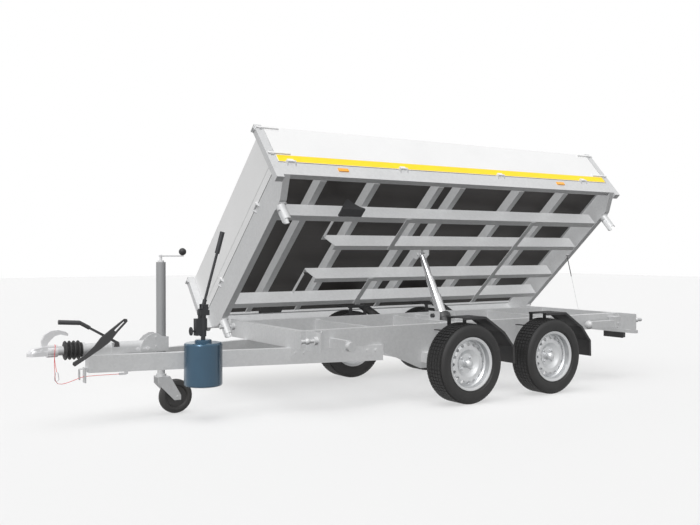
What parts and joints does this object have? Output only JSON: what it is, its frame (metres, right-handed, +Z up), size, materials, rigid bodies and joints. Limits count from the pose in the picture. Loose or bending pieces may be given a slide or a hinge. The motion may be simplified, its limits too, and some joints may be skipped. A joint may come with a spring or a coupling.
{
  "type": "dump trailer",
  "caption": "Tandem-axle dump trailer, its flat bed tipped to one side by a telescopic cylinder, with drop boards, a V drawbar, ball coupling and jockey wheel.",
  "frame": {"origin": "centre of the tow ball in the coupling", "axes": "+X to the rear, +Y to the right, to which the bed is tipped, +Z up"},
  "size_m": [4.7793, 2.0139, 1.9024],
  "materials": {
    "galvanised": "hot-dip galvanised, satin",
    "board_metal": "pale anodised profile",
    "rim_steel": "silver lacquer",
    "bright_steel": "zinc plated",
    "plunger_steel": "hard chrome",
    "dark_steel": "dark grey paint",
    "blue_paint": "gloss blue paint",
    "pump_black": "black paint",
    "tyre": "black rubber",
    "rubber": "matt black",
    "black_plastic": "matt black",
    "red_plastic": "red lens",
    "amber_plastic": "amber lens",
    "red_cord": "red plastic sheath",
    "floor_ply": "dark film-faced plywood"
  },
  "bodies": {
    "chassis": {"chassis_frame": "galvanised", "axle_plates": "galvanised", "axle_front": "galvanised", "axle_rear": "galvanised", "drawbar_beams": "galvanised", "drawbar_brackets": "galvanised", "tip_pins": "galvanised", "side_arms": "galvanised", "overrun_housing": "galvanised", "draw_tube": "galvanised", "bellows": "rubber", "coupling_head": "bright_steel", "coupling_handle": "bright_steel", "handbrake_lever": "dark_steel", "brake_strap": "dark_steel", "jockey_mast": "galvanised", "jockey_crank": "bright_steel", "oil_tank": "blue_paint", "hand_pump": "pump_black", "pump_lever": "pump_black", "mudguards": "black_plastic", "light_bar": "galvanised", "rear_lamps": "red_plastic", "cylinder_cradle": "galvanised", "breakaway_cable": "red_cord", "cable_hook": "bright_steel", "limit_cable": "bright_steel"},
    "bed": {"bed_end_beams": "galvanised", "bed_side_rails": "galvanised", "hinge_ears": "galvanised", "bed_strips": "galvanised", "bed_cross_members": "galvanised", "bed_rails": "galvanised", "bed_floor": "floor_ply", "corner_posts": "galvanised", "tip_sockets": "galvanised", "cylinder_bracket": "galvanised", "wheel_chocks": "black_plastic", "marker_lamps": "amber_plastic"},
    "board_left": {"board_left": "board_metal"},
    "board_right": {"board_right": "board_metal"},
    "board_front": {"board_front": "board_metal"},
    "board_rear": {"board_rear": "board_metal"},
    "barrel": {"cylinder_barrel": "dark_steel"},
    "plunger_1": {"plunger_1": "plunger_steel"},
    "plunger_2": {"plunger_2": "plunger_steel"},
    "plunger_3": {"plunger_3": "plunger_steel"},
    "jockey_leg": {"jockey_leg": "galvanised"},
    "jockey_fork": {"jockey_fork": "galvanised"},
    "jockey_wheel": {"jockey_wheel": "rubber"},
    "prop_left": {"prop_stand_left": "galvanised"},
    "prop_right": {"prop_stand_right": "galvanised"},
    "wheel_front_left": {"rim_front_left": "rim_steel", "tyre_front_left": "tyre"},
    "wheel_front_right": {"rim_front_right": "rim_steel", "tyre_front_right": "tyre"},
    "wheel_rear_left": {"rim_rear_left": "rim_steel", "tyre_rear_left": "tyre"},
    "wheel_rear_right": {"rim_rear_right": "rim_steel", "tyre_rear_right": "tyre"}
  },
  "joints": [
    {"name": "bed_tilt", "type": "hinge", "parent": "chassis", "child": "bed", "pos_m": [3.07, 0.612, 0.042], "axis": [1, 0, 0], "range_deg": [0, 42], "deforming": ["limit_cable"]},
    {"name": "barrel_swing", "type": "hinge", "parent": "chassis", "child": "barrel", "pos_m": [3.044, -0.039, 0.109], "axis": [1, 0, 0], "range_deg": [0, 28.85]},
    {"name": "plunger_1_slide", "type": "slide", "parent": "barrel", "child": "plunger_1", "axis": [0, -0.4825, -0.8759], "range_m": [0, 0.15569]},
    {"name": "plunger_2_slide", "type": "slide", "parent": "plunger_1", "child": "plunger_2", "axis": [0, -0.4825, -0.8759], "range_m": [0, 0.15569]},
    {"name": "plunger_3_slide", "type": "slide", "parent": "plunger_2", "child": "plunger_3", "axis": [0, -0.4825, -0.8759], "range_m": [0, 0.15569]},
    {"name": "board_left_hinge", "type": "hinge", "parent": "bed", "child": "board_left", "pos_m": [3.07, -0.28148, 1.20174], "axis": [1, 0, 0], "range_deg": [0, 175]},
    {"name": "board_right_hinge", "type": "hinge", "parent": "bed", "child": "board_right", "pos_m": [3.07, 0.94917, 0.09366], "axis": [-1, 0, 0], "range_deg": [0, 135]},
    {"name": "board_front_hinge", "type": "hinge", "parent": "bed", "child": "board_front", "pos_m": [1.465, 0.33385, 0.6477], "axis": [0, -0.7431, 0.6691], "range_deg": [0, 90]},
    {"name": "board_rear_hinge", "type": "hinge", "parent": "bed", "child": "board_rear", "pos_m": [4.675, 0.33385, 0.6477], "axis": [0, 0.7431, -0.6691], "range_deg": [0, 90]},
    {"name": "jockey_slide", "type": "slide", "parent": "chassis", "child": "jockey_leg", "axis": [0, 0, 1], "range_m": [-0.06, 0.07]},
    {"name": "jockey_swivel", "type": "hinge", "parent": "jockey_leg", "child": "jockey_fork", "pos_m": [0.777, 0, -0.176], "axis": [0, 0, 1], "continuous": true},
    {"name": "jockey_spin", "type": "hinge", "parent": "jockey_fork", "child": "jockey_wheel", "pos_m": [0.872, 0, -0.327], "axis": [0, 1, 0], "continuous": true},
    {"name": "prop_left_hinge", "type": "hinge", "parent": "chassis", "child": "prop_left", "pos_m": [4.47, -0.53, 0.016], "axis": [0, -1, 0], "range_deg": [0, 90]},
    {"name": "prop_right_hinge", "type": "hinge", "parent": "chassis", "child": "prop_right", "pos_m": [4.47, 0.53, 0.016], "axis": [0, -1, 0], "range_deg": [0, 90]},
    {"name": "wheel_front_left_spin", "type": "hinge", "parent": "chassis", "child": "wheel_front_left", "pos_m": [2.677, -0.735, -0.161], "axis": [0, 1, 0], "continuous": true},
    {"name": "wheel_front_right_spin", "type": "hinge", "parent": "chassis", "child": "wheel_front_right", "pos_m": [2.677, 0.735, -0.161], "axis": [0, 1, 0], "continuous": true},
    {"name": "wheel_rear_left_spin", "type": "hinge", "parent": "chassis", "child": "wheel_rear_left", "pos_m": [3.463, -0.735, -0.161], "axis": [0, 1, 0], "continuous": true},
    {"name": "wheel_rear_right_spin", "type": "hinge", "parent": "chassis", "child": "wheel_rear_right", "pos_m": [3.463, 0.735, -0.161], "axis": [0, 1, 0], "continuous": true}
  ],
  "couplings": [
    {"joint": "barrel_swing", "follows": "bed_tilt", "ratio": 0.6869},
    {"joint": "plunger_1_slide", "follows": "bed_tilt", "m_per_rad": 0.21232},
    {"joint": "plunger_2_slide", "follows": "bed_tilt", "m_per_rad": 0.21232},
    {"joint": "plunger_3_slide", "follows": "bed_tilt", "m_per_rad": 0.21232}
  ]
}
